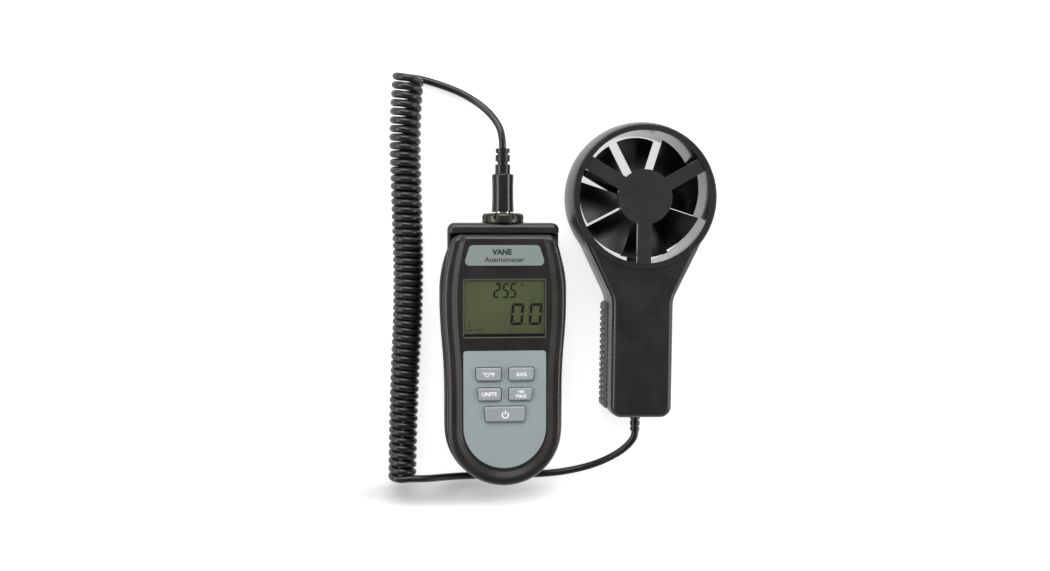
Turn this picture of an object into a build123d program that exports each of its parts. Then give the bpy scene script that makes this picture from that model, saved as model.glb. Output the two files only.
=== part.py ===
from build123d import *
import os
from math import acos, atan2, cos, hypot, pi, radians, sin, tan

# Vane anemometer: a handheld meter lying on its back, a separate vane probe lying beside it, and the
# curly lead that joins them. Millimetres. The origin is the centre of the meter's flat back, +Y points
# from the keypad to the socket and +Z out of the display.

# ---------- driving dimensions: meter case ----------
case_length = 132.4
top_y = case_length / 2
end_y = -case_length / 2
grip_half_width = 29.75
wide_half_width = 32.0
shoulder_half_width = 27.9
case_corner_radius = 3.5
case_wall = 2.0
case_floor = 2.0
case_split_z = 17.0
case_rim_round = 1.2
case_back_round = 3.0
waist_y = end_y + 46.2
flare_y = top_y - 59.2
wide_low_y = top_y - 38.2
wide_high_y = top_y - 34.2
shoulder_y = top_y - 13.2
tail_rise_length = 13.6
tail_ledge = 0.4
tail_rise_height = 12.0

# ---------- driving dimensions: front shell ----------
face_thickness = 2.0
crest_height = 1.5
bezel_ledge = 1.4
bezel_top_y = top_y - 6.1
bezel_corner_x = 25.0
bezel_corner_radius = 5.0
bezel_round = 3.1
crest_round = 2.8
crest_inset = 4.0
crest_top_inset = 1.1
face_inset = 7.2
face_top_inset = 2.2
pocket_corner_radius = 3.5

# ---------- driving dimensions: display and labels ----------
window_width = 41.4
window_height = 29.6
window_centre_y = top_y - 42.5
view_centre_y = window_centre_y + 0.6
view_height = 26.8
window_thickness = 0.8
window_sink = 0.3
window_lip = 0.8
lcd_overlap = 2.0
lcd_thickness = 1.9
connector_height = 1.2
connector_width = 1.8
label_thickness = 0.25
name_label_top_y = top_y - 11.3
name_label_bottom_y = top_y - 21.4
name_label_top_half = 17.2
name_label_bottom_half = 20.3
name_label_radius = 2.2
keypad_label_half = 20.5
keypad_label_bottom_y = end_y + 10.5
keypad_label_top_y = window_centre_y - 21.0

# ---------- driving dimensions: keys ----------
key_height = 1.8
key_travel = 0.8
key_flange = 0.8
key_corner_radius = 1.1
key_edge_chamfer = 0.6
mat_thickness = 0.8
mat_margin = 3.0
# each key: inner x, outer x at the top edge, outer x at the bottom edge, and how far its top and
# its bottom edge are below the keypad label's top
key_table = {
    "key_temperature": (-1.95, -14.45, -14.1, 8.3, 14.8),
    "key_average": (1.95, 14.45, 14.1, 8.3, 14.8),
    "key_units": (-1.95, -13.9, -12.9, 18.35, 24.65),
    "key_min_max": (1.95, 13.9, 12.9, 18.35, 24.65),
    "key_power": (-10.35, 10.35, 9.6, 27.6, 35.2),
}

# ---------- driving dimensions: battery and electronics ----------
battery_width = 26.5
battery_depth = 17.5
battery_body_length = 46.2
battery_terminal_length = 2.6
battery_terminal_x = 6.35
battery_terminal_radii = (2.8, 3.9)
battery_end_y = end_y + 16.2
battery_face_y = battery_end_y + battery_body_length
snap_width = 24.0
snap_depth = 12.0
snap_thickness = 1.0
snap_gap = 0.8
bay_wall = 1.2
cover_thickness = 1.8
cover_half_width = 15.0
cover_top_y = battery_face_y + 2.0
cover_bottom_y = end_y + 9.2
cover_travel = 4.0
tongue_width = 1.0
tongue_thickness = 0.8
tongue_length = 34.0
tongue_inset = 6.0
finger_groove_depth = 0.5
slide_mark_rise = 22.0
slide_mark_size = 5.0
board_thickness = 1.2
board_half_width = 24.5
board_low_y = end_y + 26.2
board_high_y = top_y - 11.2
chip_height = 1.6
# each chip: x, how far it is above the display's centre, width and length
chips = ((-12, -5.7, 10, 10), (8, -9.7, 7, 5), (10, 2.3, 5, 6), (-10, 10.3, 9, 4), (6, 16.3, 8, 4))

# ---------- driving dimensions: fasteners ----------
screw_radius = 1.15
screw_head_radius = 2.4
screw_head_height = 1.2
screw_sink = 0.4
recess_length = 2.6
recess_width = 0.7
recess_depth = 0.8
boss_radius = 3.1
case_screw_x = 21.0
case_screw_ys = (top_y - 17.2, end_y + 36.2)
screw_end_gap = 2.0

# ---------- driving dimensions: socket and plug ----------
socket_z = 13.0
plug_shell_radius = 4.4
plug_shell_wall = 0.6
socket_bore_radius = plug_shell_radius + 0.05
socket_radius = plug_shell_radius + 2.6
socket_inner_y = top_y - 9.2
nut_radius = socket_radius + 3.5
nut_length = 4.7
nut_round = 1.8
nut_slot_count = 8
nut_slot_radius = 1.5
plug_gap = 0.7
plug_barrel_length = 19.0
plug_barrel_radius = plug_shell_radius + 1.25
plug_waist_radius = plug_barrel_radius - 0.3
plug_insertion = 8.5
plug_seat_depth = 3.0
contact_wall = 0.15
contact_length = 4.0
pin_recess = 1.5
pin_radius = 0.5
pin_circle_radius = 2.0
pin_count = 4
pin_first_angle = 45.0
relief_length = 12.8
relief_radius = 3.85
relief_groove_radius = 2.6

# ---------- driving dimensions: probe ----------
bore_radius = 33.0
lip_radius = bore_radius + 3.0
bulge_radius = bore_radius + 5.2
back_radius = bore_radius + 2.6
neck_ring_radius = bore_radius + 3.6
bulge_z = 14.0
head_centre_x = shoulder_half_width + 3.55 + bulge_radius
head_centre_y = 78.8
probe_turn = -0.7
head_depth = 30.0
probe_split_z = 20.0
neck_end_y = -neck_ring_radius - 14.3
handle_end_y = neck_end_y - 59.9
handle_half_width = 15.9
handle_front_z = 29.2
handle_draft = 4.0
handle_round = 3.0
neck_fillet = 14.0
handle_corner_radius = 6.0
probe_wall = 2.0
handle_axis_z = 13.0
ring_edge_round = 0.8
probe_screw_length = 24.0
probe_board_low_y = handle_end_y + 15.4
probe_board_high_y = neck_end_y - 3.1
probe_board_width = 18.0
temperature_sensor_size = (3.0, 4.0, 2.0)

# ---------- driving dimensions: vane guards and impeller ----------
guard_rim_width = 1.3
guard_lip = 1.0
spoke_width = 7.0
spoke_thickness = 2.4
spoke_angles = (30.0, 150.0, 270.0)
front_hub_radius = 13.7
rear_hub_radius = 7.0
axle_radius = 1.0
axle_end_gap = 0.6
bearing_radius = axle_radius + 1.5
bearing_height = 2.3
bearing_boss_radius = bearing_radius + 1.3
bearing_boss_height = 1.6
hub_gap = 0.6
magnet_radius = axle_radius + 2.2
magnet_height = 2.0
pickup_radius = bearing_boss_radius + 1.4
pickup_size = 1.8
pickup_height = 1.2
impeller_z = 15.2
impeller_height = 14.0
impeller_tip_radius = bore_radius - 2.4
impeller_ring_outer = 10.6
impeller_ring_inner = 9.2
impeller_hub_radius = magnet_radius + 1.4
blade_count = 8
blade_gap = 2.0
blade_thickness = 1.0
blade_first_angle = 50.4
web_count = 4
web_width = 1.6
web_height = 3.0

# ---------- driving dimensions: grips and lead ----------
grip_low_y = handle_end_y + 3.4
grip_high_y = neck_end_y - 2.1
grip_low_z = 3.5
grip_high_z = 16.5
grip_outer_x = 17.35
grip_inner_x = 14.7
grip_rib_pitch = 3.0
grip_rib_depth = 0.7
probe_relief_length = 8.6
probe_relief_radius = 2.6
probe_relief_groove = 2.0
relief_flange = 1.4
relief_flange_thickness = 1.2
cord_radius = 1.85
coil_radius = 7.6

# ---------- named clearances ----------
fit = 0.1
slide_fit = 0.15
running_fit = 0.03
key_gap = 0.35
seam_gap = 0.5
screw_gap = 0.2
board_gap = 0.6
hidden_gap = 0.3

# ---------- values that follow ----------
tail_y = end_y + grip_half_width
tail_rise_y = end_y + tail_ledge + tail_rise_length
flare_share = (flare_y - waist_y) / (wide_low_y - waist_y)
battery_low_z = cover_thickness + 0.5
battery_high_z = battery_low_z + battery_depth
board_low_z = battery_high_z + 0.4
board_top_z = board_low_z + board_thickness
lcd_low_z = board_top_z + connector_height
face_under_z = lcd_low_z + lcd_thickness
face_z = face_under_z + face_thickness
front_top_z = face_z + crest_height
key_top_z = face_z + key_height
window_seat_z = face_z - window_sink - window_thickness
nut_face_y = top_y + nut_length
barrel_low_y = nut_face_y + plug_gap
barrel_high_y = barrel_low_y + plug_barrel_length
relief_tip_y = barrel_high_y + relief_length
head_centre = Vector(head_centre_x, head_centre_y, 0)
turn = radians(probe_turn)
probe_frame = Plane(origin=head_centre, x_dir=(cos(turn), sin(turn), 0), z_dir=(0, 0, 1))
guard_seat_radius = bore_radius + guard_rim_width + fit
front_guard_z = head_depth - guard_lip
grip_depth = grip_outer_x - grip_inner_x
grip_length = grip_high_y - grip_low_y
grip_mid_y = (grip_high_y + grip_low_y) / 2
rear_guard_z = guard_lip
case_screws_at = [(sx * case_screw_x, y) for y in case_screw_ys for sx in (-1, 1)]
probe_screws_at = [(0, -bulge_radius - 7.4), (-8.6, handle_end_y + 8.4), (8.6, handle_end_y + 8.4)]


def keep(builder, label):
    """Label a finished piece and write it under that name."""
    builder.part.label = label
    export_step(builder.part, f"parts/{label}.step")


def probe_point(x, y, z):
    """The place of a point given in the probe's own axes."""
    return probe_frame.from_local_coords(Vector(x, y, z))


def probe_radial(angle, radius, z):
    """A plane facing outwards from the vane's axis, with its y up the axis."""
    outward = Vector(cos(radians(angle) + turn), sin(radians(angle) + turn), 0)
    along = Vector(-outward.Y, outward.X, 0)
    return Plane(origin=head_centre + outward * radius + Vector(0, 0, z), x_dir=along, z_dir=outward)


def probe_across(y):
    """A plane across the probe's handle that faces the lead's end."""
    return Plane(origin=probe_point(0, y, handle_axis_z), x_dir=probe_frame.x_dir, z_dir=-probe_frame.y_dir)


def lengthwise(y, z=socket_z):
    """A plane across the meter's length that faces +Y."""
    return Plane(origin=(0, y, z), x_dir=(1, 0, 0), z_dir=(0, 1, 0))


def case_profile(inset=0.0):
    """Plan of the rear case: round tail, waist, wide middle and square shoulders."""
    with BuildSketch() as profile:
        with BuildLine():
            flare_x = grip_half_width + (wide_half_width - grip_half_width) * flare_share
            corner = case_corner_radius
            CenterArc((0, tail_y), grip_half_width, -90, 90)
            Line((grip_half_width, tail_y), (grip_half_width, waist_y))
            flare = TangentArc((grip_half_width, waist_y), (flare_x, flare_y), tangent=(0, 1))
            TangentArc(flare @ 1, (wide_half_width, wide_low_y), tangent=flare % 1)
            Line((wide_half_width, wide_low_y), (wide_half_width, wide_high_y))
            TangentArc(
                (wide_half_width, wide_high_y), (shoulder_half_width, shoulder_y), tangent=(0, 1)
            )
            Line((shoulder_half_width, shoulder_y), (shoulder_half_width, top_y - corner))
            CenterArc((shoulder_half_width - corner, top_y - corner), corner, 0, 90)
            Line((shoulder_half_width - corner, top_y), (0, top_y))
            mirror(about=Plane.YZ)
        make_face()
        if inset:
            offset(amount=-inset, mode=Mode.REPLACE)
    return profile.sketch


def bezel_profile(side_inset, top_inset, corner_radius):
    """Plan of the front shell, brought in by its own amounts at the sides and at the top."""
    low = grip_half_width - side_inset
    wide = wide_half_width - side_inset
    corner_x = bezel_corner_x - (side_inset - bezel_ledge) * 0.8
    high_y = bezel_top_y - top_inset
    with BuildSketch() as profile:
        with BuildLine():
            flare_x = low + (wide - low) * flare_share
            CenterArc((0, tail_y), low, -90, 90)
            Line((low, tail_y), (low, waist_y))
            flare = TangentArc((low, waist_y), (flare_x, flare_y), tangent=(0, 1))
            TangentArc(flare @ 1, (wide, wide_low_y), tangent=flare % 1)
            TangentArc((wide, wide_low_y), (corner_x, high_y), tangent=(0, 1))
            Line((corner_x, high_y), (0, high_y))
            mirror(about=Plane.YZ)
        make_face()
        corners = [v for v in profile.vertices().group_by(Axis.Y)[-1] if abs(v.X) > 1]
        fillet(corners, radius=corner_radius)
    return profile.sketch


def below_tail(margin):
    """Side view of the space under the tail, whose underside sweeps up as a quarter ellipse."""
    long_axis = tail_rise_length - margin
    high_axis = tail_rise_height - margin
    low_y = tail_rise_y - long_axis
    with BuildSketch() as profile:
        with BuildLine():
            EllipticalCenterArc(
                (tail_rise_y, tail_rise_height), long_axis, high_axis, start_angle=180, arc_size=90
            )
            Polyline(
                (tail_rise_y, tail_rise_height - high_axis),
                (tail_rise_y, -5),
                (low_y - 10, -5),
                (low_y - 10, tail_rise_height),
                (low_y, tail_rise_height),
            )
        make_face()
    return profile.sketch


def key_profile(name, margin=0.0):
    """Plan of one key: a rounded block whose outer side leans in towards the bottom."""
    inner_x, outer_top_x, outer_bottom_x, high_drop, low_drop = key_table[name]
    inner_low_x = -outer_bottom_x if name == "key_power" else inner_x
    high_y = keypad_label_top_y - high_drop
    low_y = keypad_label_top_y - low_drop
    with BuildSketch() as profile:
        with BuildLine():
            Polyline(
                (inner_x, high_y), (outer_top_x, high_y), (outer_bottom_x, low_y), (inner_low_x, low_y),
                close=True,
            )
        make_face()
        fillet(profile.vertices(), radius=key_corner_radius)
        if margin:
            offset(amount=margin, mode=Mode.REPLACE)
    return profile.sketch


def keypad_plan(half_width, high_y, radius):
    """Straight-sided plan with a round lower end."""
    arc_y = keypad_label_bottom_y + half_width
    with BuildSketch() as profile:
        with BuildLine():
            Line((half_width, high_y), (half_width, arc_y))
            CenterArc((0, arc_y), half_width, -180, 180)
            Line((-half_width, arc_y), (-half_width, high_y))
            Line((-half_width, high_y), (half_width, high_y))
        make_face()
        fillet(profile.vertices().group_by(Axis.Y)[-1], radius=radius)
    return profile.sketch


def handle_profile(inset=0.0):
    """Plan of the probe's neck and handle: tangents from the head's ring, running into a bar."""
    reach = hypot(handle_half_width, neck_end_y)
    contact = atan2(handle_half_width, -neck_end_y) + acos(neck_ring_radius / reach)
    contact_x = neck_ring_radius * sin(contact)
    contact_y = -neck_ring_radius * cos(contact)
    with BuildSketch() as profile:
        with BuildLine():
            Polyline(
                (-contact_x, contact_y), (-handle_half_width, neck_end_y),
                (-handle_half_width, handle_end_y), (handle_half_width, handle_end_y),
                (handle_half_width, neck_end_y), (contact_x, contact_y), close=True,
            )
        make_face()
        by_height = profile.vertices().group_by(Axis.Y)
        fillet(by_height[1], radius=neck_fillet)
        fillet(profile.vertices().group_by(Axis.Y)[0], radius=handle_corner_radius)
        if inset:
            offset(amount=-inset, mode=Mode.REPLACE)
    return profile.sketch


def cross_profile(places):
    """Plan of the cross recesses in the screw heads at these places."""
    with BuildSketch() as profile:
        with Locations(*places):
            Rectangle(recess_length, recess_width)
            Rectangle(recess_width, recess_length)
    return profile.sketch


def ring_solid():
    """The vane head's barrel-shaped ring, with its bore."""
    with BuildPart() as ring:
        with BuildSketch(Plane(origin=head_centre, x_dir=(1, 0, 0), z_dir=(0, -1, 0))):
            with BuildLine():
                ThreePointArc((back_radius, 0), (bulge_radius, bulge_z), (lip_radius, head_depth))
                Line((lip_radius, head_depth), (bore_radius, head_depth))
                Line((bore_radius, head_depth), (bore_radius, 0))
                Line((bore_radius, 0), (back_radius, 0))
            make_face()
        revolve(axis=Axis(head_centre, (0, 0, 1)))
        fillet(ring.edges().sort_by(Axis.Z)[-2:].sort_by(SortBy.RADIUS)[-1], radius=ring_edge_round)
    return ring.part


# ---------- rear shell of the meter ----------
with BuildPart() as case_cavity:
    with BuildSketch(Plane.XY.offset(case_floor)):
        add(case_profile(case_wall))
    extrude(amount=case_split_z - case_floor)
    with BuildSketch(Plane.YZ):
        add(below_tail(case_wall))
    extrude(amount=wide_half_width, both=True, mode=Mode.SUBTRACT)

with BuildPart() as rear_shell:
    with BuildSketch():
        add(case_profile())
    extrude(amount=case_split_z)
    with BuildSketch(Plane.YZ):
        add(below_tail(0))
    extrude(amount=wide_half_width + 1, both=True, mode=Mode.SUBTRACT)
    fillet(rear_shell.faces().sort_by(Axis.Z)[-1].edges(), radius=case_rim_round)
    fillet(rear_shell.faces().sort_by(Axis.Z)[0].edges().filter_by(Axis.X, reverse=True), case_back_round)
    add(case_cavity.part, mode=Mode.SUBTRACT)
    # battery bay, its side rails and its end walls
    bay_half = battery_width / 2 + hidden_gap
    bay_low_y = battery_end_y - hidden_gap
    bay_high_y = battery_face_y + snap_gap + battery_terminal_length + snap_thickness + 1.2
    with BuildSketch(Plane.XY.offset(case_floor)):
        with Locations((0, (bay_low_y + bay_high_y) / 2)):
            Rectangle(2 * (bay_half + bay_wall), bay_high_y - bay_low_y + 2 * bay_wall)
            Rectangle(2 * bay_half, bay_high_y - bay_low_y, mode=Mode.SUBTRACT)
    extrude(amount=case_split_z - case_floor - 1.0)
    rail_width = cover_half_width + tongue_width + case_wall - bay_half
    with BuildSketch(Plane.XY.offset(case_floor)):
        with Locations(*[(sx * (bay_half + rail_width / 2), (bay_low_y - 2) / 2) for sx in (-1, 1)]):
            Rectangle(rail_width, -bay_low_y - 2)
    extrude(amount=1.5)
    # opening for the battery, seat for its cover and grooves for the cover's tongues
    seat_length = cover_top_y - cover_bottom_y
    with BuildSketch():
        with Locations((0, (cover_top_y + cover_bottom_y - cover_travel) / 2)):
            Rectangle(2 * (cover_half_width + slide_fit), seat_length + cover_travel + 2 * slide_fit)
    extrude(amount=cover_thickness + slide_fit, mode=Mode.SUBTRACT)
    with BuildSketch():
        with Locations((0, (battery_end_y + battery_face_y) / 2)):
            Rectangle(2 * bay_half, battery_body_length + 2 * hidden_gap)
    extrude(amount=case_floor + 1, mode=Mode.SUBTRACT)
    tongue_mid_z = cover_thickness / 2 + 0.2
    groove_width = cover_half_width + tongue_width + slide_fit
    groove_y = (cover_top_y + tail_rise_y) / 2 - 4
    with BuildSketch(Plane.XY.offset(tongue_mid_z - tongue_thickness / 2 - slide_fit)):
        with Locations((0, groove_y)):
            Rectangle(2 * groove_width, cover_top_y - tail_rise_y)
    extrude(amount=tongue_thickness + 2 * slide_fit, mode=Mode.SUBTRACT)
    # screw bosses with sunk heads
    with BuildSketch(Plane.XY.offset(case_floor)):
        with Locations(*case_screws_at):
            Circle(boss_radius)
    extrude(amount=case_split_z - case_floor)
    with BuildSketch():
        with Locations(*case_screws_at):
            Circle(screw_head_radius + screw_gap)
    extrude(amount=screw_sink + screw_head_height, mode=Mode.SUBTRACT)
    with BuildSketch():
        with Locations(*case_screws_at):
            Circle(screw_radius + screw_gap)
    extrude(amount=case_split_z, mode=Mode.SUBTRACT)
    # hole for the socket
    with BuildSketch(lengthwise(top_y - 3 * case_wall)):
        Circle(socket_radius + fit)
    extrude(amount=4 * case_wall, mode=Mode.SUBTRACT)
keep(rear_shell, "rear_shell")

# ---------- front shell of the meter ----------
with BuildPart() as front_shell:
    with BuildSketch(Plane.XY.offset(case_split_z)):
        add(bezel_profile(bezel_ledge, 0, bezel_corner_radius))
    extrude(amount=front_top_z - case_split_z)
    fillet(front_shell.faces().sort_by(Axis.Z)[-1].edges(), radius=bezel_round)
    # shallow pocket for the face, with sides that slope up to the crest of the bezel
    with BuildSketch(Plane.XY.offset(face_z)):
        add(bezel_profile(bezel_ledge + face_inset, face_top_inset, pocket_corner_radius))
    with BuildSketch(Plane.XY.offset(front_top_z)):
        add(bezel_profile(bezel_ledge + crest_inset, crest_top_inset, pocket_corner_radius))
    loft(ruled=True, mode=Mode.SUBTRACT)
    # the kernel rounds this edge loop reliably only when it gets the edges in a fixed order
    crest_edges = front_shell.edges(Select.LAST).filter_by_position(Axis.Z, front_top_z, front_top_z)
    fillet(crest_edges.sort_by(Axis.X).sort_by(Axis.Y), crest_round)
    # hollow behind the face
    with BuildSketch(Plane.XY.offset(case_split_z)):
        add(bezel_profile(bezel_ledge + case_wall, case_wall, pocket_corner_radius))
    extrude(amount=face_under_z - case_split_z, mode=Mode.SUBTRACT)
    # screw bosses
    with BuildSketch(Plane.XY.offset(case_split_z)):
        with Locations(*case_screws_at):
            Circle(boss_radius)
            Circle(screw_radius, mode=Mode.SUBTRACT)
    extrude(amount=face_under_z - case_split_z)
    # stepped opening for the display window
    with BuildSketch(Plane.XY.offset(window_seat_z)):
        with Locations((0, window_centre_y)):
            RectangleRounded(window_width, window_height, 1.2)
    extrude(amount=front_top_z - window_seat_z, mode=Mode.SUBTRACT)
    with BuildSketch(Plane.XY.offset(face_under_z)):
        with Locations((0, view_centre_y)):
            Rectangle(window_width - 2 * window_lip, view_height)
    extrude(amount=face_thickness, mode=Mode.SUBTRACT)
    # holes for the keys
    with BuildSketch(Plane.XY.offset(face_under_z)):
        for name in key_table:
            add(key_profile(name, key_gap))
    extrude(amount=face_thickness, mode=Mode.SUBTRACT)
    # room for the socket where it passes the end wall
    with BuildSketch(lengthwise(bezel_top_y - 2 * case_wall)):
        Circle(socket_radius + seam_gap)
    extrude(amount=3 * case_wall, mode=Mode.SUBTRACT)
keep(front_shell, "front_shell")

# ---------- end panel over the socket ----------
with BuildPart() as socket_panel:
    panel_low_y = bezel_top_y + seam_gap
    panel_high_z = case_split_z + 6.2
    with BuildSketch(Plane.XY.offset(case_split_z)):
        add(case_profile(0.4))
        with Locations((0, panel_low_y - case_length / 2)):
            Rectangle(3 * wide_half_width, case_length, mode=Mode.SUBTRACT)
    extrude(amount=panel_high_z - case_split_z)
    upper = socket_panel.faces().sort_by(Axis.Z)[-1]
    fillet(upper.edges().sort_by(Axis.Y)[1:], radius=2.6)
    fillet(socket_panel.faces().sort_by(Axis.Z)[-1].edges().sort_by(Axis.Y)[0], radius=0.8)
    with BuildSketch(lengthwise(panel_low_y - case_wall)):
        Circle(socket_radius + fit)
    extrude(amount=5 * case_wall, mode=Mode.SUBTRACT)
keep(socket_panel, "socket_panel")

# ---------- display ----------
with BuildPart() as lcd_window:
    with BuildSketch(Plane.XY.offset(window_seat_z)):
        with Locations((0, window_centre_y)):
            RectangleRounded(window_width - 2 * fit, window_height - 2 * fit, 1.1)
    extrude(amount=window_thickness)
keep(lcd_window, "lcd_window")

with BuildPart() as lcd_module:
    with BuildSketch(Plane.XY.offset(lcd_low_z)):
        with Locations((0, view_centre_y)):
            Rectangle(window_width + lcd_overlap, window_height + lcd_overlap)
    extrude(amount=lcd_thickness)
keep(lcd_module, "lcd_module")

with BuildPart() as lcd_connector:
    strip_y = (window_height + lcd_overlap) / 2 - connector_width
    with BuildSketch(Plane.XY.offset(board_top_z)):
        with Locations((0, view_centre_y - strip_y), (0, view_centre_y + strip_y)):
            Rectangle(window_width, connector_width)
    extrude(amount=connector_height)
keep(lcd_connector, "lcd_connector")

# ---------- stick-on labels ----------
with BuildPart() as name_label:
    with BuildSketch(Plane.XY.offset(face_z)) as name_plan:
        with BuildLine():
            Polyline(
                (-name_label_top_half, name_label_top_y), (name_label_top_half, name_label_top_y),
                (name_label_bottom_half, name_label_bottom_y),
                (-name_label_bottom_half, name_label_bottom_y), close=True,
            )
        make_face()
        fillet(name_plan.vertices(), radius=name_label_radius)
    extrude(amount=label_thickness)
keep(name_label, "name_label")

with BuildPart() as keypad_label:
    with BuildSketch(Plane.XY.offset(face_z)):
        add(keypad_plan(keypad_label_half, keypad_label_top_y, 1.5))
        for name in key_table:
            add(key_profile(name, key_gap), mode=Mode.SUBTRACT)
    extrude(amount=label_thickness)
keep(keypad_label, "keypad_label")

# ---------- keypad ----------
keys_high_y = keypad_label_top_y - key_table["key_average"][3]
keys_low_y = keypad_label_top_y - key_table["key_power"][4]
mat_width = 2 * (key_table["key_average"][1] + mat_margin)
mat_length = keys_high_y - keys_low_y + 2 * mat_margin
with BuildPart() as keypad_mat:
    with BuildSketch(Plane.XY.offset(board_top_z)):
        with Locations((0, (keys_high_y + keys_low_y) / 2)):
            RectangleRounded(mat_width, mat_length, mat_margin)
    extrude(amount=mat_thickness)
keep(keypad_mat, "keypad_mat")

flange_low_z = board_top_z + mat_thickness + key_travel + fit
for name in key_table:
    with BuildPart() as key:
        with BuildSketch(Plane.XY.offset(flange_low_z)):
            add(key_profile(name, key_flange))
        extrude(amount=face_under_z - fit - flange_low_z)
        with BuildSketch(Plane.XY.offset(flange_low_z)):
            add(key_profile(name))
        extrude(amount=key_top_z - flange_low_z)
        chamfer(key.faces().sort_by(Axis.Z)[-1].edges(), length=key_edge_chamfer)
    keep(key, name)

# ---------- circuit board and its components ----------
with BuildPart() as main_pcb:
    with BuildSketch(Plane.XY.offset(board_low_z)):
        with Locations((0, (board_low_y + board_high_y) / 2)):
            RectangleRounded(2 * board_half_width, board_high_y - board_low_y, 4.0)
        with Locations(*case_screws_at):
            Circle(boss_radius + board_gap, mode=Mode.SUBTRACT)
    extrude(amount=board_thickness)
keep(main_pcb, "main_pcb")

with BuildPart() as pcb_components:
    for x, rise, width, length in chips:
        with BuildSketch(Plane.XY.offset(board_low_z)):
            with Locations((x, window_centre_y + rise)):
                Rectangle(width, length)
        extrude(amount=-chip_height)
keep(pcb_components, "pcb_components")

# ---------- battery, its snap and its cover ----------
battery_mid_z = (battery_low_z + battery_high_z) / 2
with BuildPart() as battery:
    with BuildSketch(lengthwise(battery_end_y, battery_mid_z)):
        RectangleRounded(battery_width, battery_depth, 2.0)
    extrude(amount=battery_body_length)
    with BuildSketch(lengthwise(battery_face_y, battery_mid_z)):
        for side, radius in zip((-1, 1), battery_terminal_radii):
            with Locations((side * battery_terminal_x, 0)):
                Circle(radius)
    extrude(amount=battery_terminal_length)
keep(battery, "battery_9v")

with BuildPart() as battery_snap:
    with BuildSketch(lengthwise(battery_face_y + snap_gap, battery_mid_z)):
        RectangleRounded(snap_width, snap_depth, 2.0)
        for side, radius in zip((-1, 1), battery_terminal_radii):
            with Locations((side * battery_terminal_x, 0)):
                Circle(radius + fit, mode=Mode.SUBTRACT)
    extrude(amount=battery_terminal_length)
    with BuildSketch(lengthwise(battery_face_y + snap_gap + battery_terminal_length, battery_mid_z)):
        RectangleRounded(snap_width, snap_depth, 2.0)
    extrude(amount=snap_thickness)
keep(battery_snap, "battery_snap")

with BuildPart() as battery_cover:
    with BuildSketch():
        with Locations((0, (cover_top_y + cover_bottom_y) / 2)):
            Rectangle(2 * cover_half_width, cover_top_y - cover_bottom_y)
    extrude(amount=cover_thickness)
    with BuildSketch(Plane.YZ):
        add(below_tail(0))
    extrude(amount=wide_half_width, both=True, mode=Mode.SUBTRACT)
    with BuildSketch(Plane.XY.offset(tongue_mid_z - tongue_thickness / 2)):
        with Locations((0, cover_top_y - tongue_inset - tongue_length / 2)):
            Rectangle(2 * (cover_half_width + tongue_width), tongue_length)
    extrude(amount=tongue_thickness)
    # finger grooves across the lower end
    with BuildSketch():
        with Locations((0, cover_bottom_y + 12.0)):
            with GridLocations(1, 2.4, 1, 5):
                SlotOverall(14.0, 1.0)
        # an arrow head that points the way the cover slides
        with Locations((0, cover_bottom_y + slide_mark_rise)):
            Triangle(a=slide_mark_size, b=slide_mark_size, c=slide_mark_size, rotation=180)
    extrude(amount=finger_groove_depth, mode=Mode.SUBTRACT)
keep(battery_cover, "battery_cover")

# ---------- screws of the meter ----------
with BuildPart() as case_screws:
    with BuildSketch(Plane.XY.offset(screw_sink)):
        with Locations(*case_screws_at):
            Circle(screw_head_radius)
    extrude(amount=screw_head_height)
    with BuildSketch(Plane.XY.offset(screw_sink)):
        with Locations(*case_screws_at):
            Circle(screw_radius)
    extrude(amount=face_under_z - screw_end_gap - screw_sink)
    with BuildSketch(Plane.XY.offset(screw_sink)):
        add(cross_profile(case_screws_at))
    extrude(amount=recess_depth, mode=Mode.SUBTRACT)
keep(case_screws, "case_screws")

# ---------- socket ----------
shell_tip_y = barrel_low_y - plug_insertion
with BuildPart() as socket_body:
    with BuildSketch(lengthwise(socket_inner_y)):
        Circle(socket_radius)
    extrude(amount=nut_face_y - socket_inner_y)
    with BuildSketch(lengthwise(shell_tip_y - hidden_gap)):
        Circle(socket_bore_radius)
    extrude(amount=nut_face_y, mode=Mode.SUBTRACT)
keep(socket_body, "socket_body")

insulator_radius = plug_shell_radius - plug_shell_wall - slide_fit
with BuildPart() as socket_insulator:
    with BuildSketch(lengthwise(shell_tip_y - hidden_gap)):
        Circle(insulator_radius)
    extrude(amount=plug_insertion - pin_recess)
    with BuildSketch(lengthwise(shell_tip_y)):
        with PolarLocations(pin_circle_radius, pin_count, pin_first_angle):
            Circle(pin_radius + contact_wall + fit)
    extrude(amount=plug_insertion, mode=Mode.SUBTRACT)
keep(socket_insulator, "socket_insulator")

with BuildPart() as socket_contacts:
    with BuildSketch(lengthwise(shell_tip_y)):
        with PolarLocations(pin_circle_radius, pin_count, pin_first_angle):
            Circle(pin_radius + contact_wall + fit)
            Circle(pin_radius + running_fit, mode=Mode.SUBTRACT)
    extrude(amount=contact_length)
keep(socket_contacts, "socket_contacts")

with BuildPart() as socket_nut:
    with BuildSketch(lengthwise(top_y)):
        Circle(nut_radius)
        Circle(socket_radius, mode=Mode.SUBTRACT)
    extrude(amount=nut_length)
    fillet(socket_nut.faces().sort_by(Axis.Y)[-1].edges().sort_by(SortBy.RADIUS)[-1], radius=nut_round)
    with BuildSketch(lengthwise(top_y + nut_slot_radius)):
        with PolarLocations(nut_radius + 0.3, nut_slot_count, 360 / nut_slot_count / 2):
            Circle(nut_slot_radius)
    extrude(amount=nut_length, mode=Mode.SUBTRACT)
keep(socket_nut, "socket_nut")

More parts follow.
